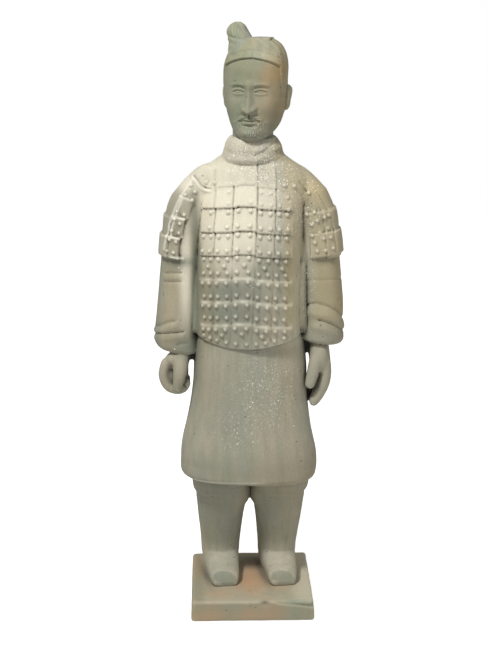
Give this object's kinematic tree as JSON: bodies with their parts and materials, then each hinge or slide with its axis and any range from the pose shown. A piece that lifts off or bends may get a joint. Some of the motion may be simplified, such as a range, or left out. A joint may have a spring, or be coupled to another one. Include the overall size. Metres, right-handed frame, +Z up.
{
  "type": "terracotta warrior statue",
  "caption": "Standing terracotta soldier in a long robe, plated armour coat and scarf collar, arms at the sides, hair in a side topknot, on a low square plinth.",
  "frame": {"origin": "bottom centre of the bounding box, on the ground under the plinth", "axes": "+Z up; the figure faces -Y, with its left hand on the +X side"},
  "size_m": [0.3262, 0.2254, 1],
  "materials": {
    "plinth_clay": "matte fired clay",
    "body_clay": "matte fired clay with a pale slip",
    "head_clay": "matte fired clay with a grey-green slip"
  },
  "bodies": {
    "root": {"plinth": "plinth_clay", "warrior": "body_clay", "head": "head_clay"}
  },
  "joints": []
}
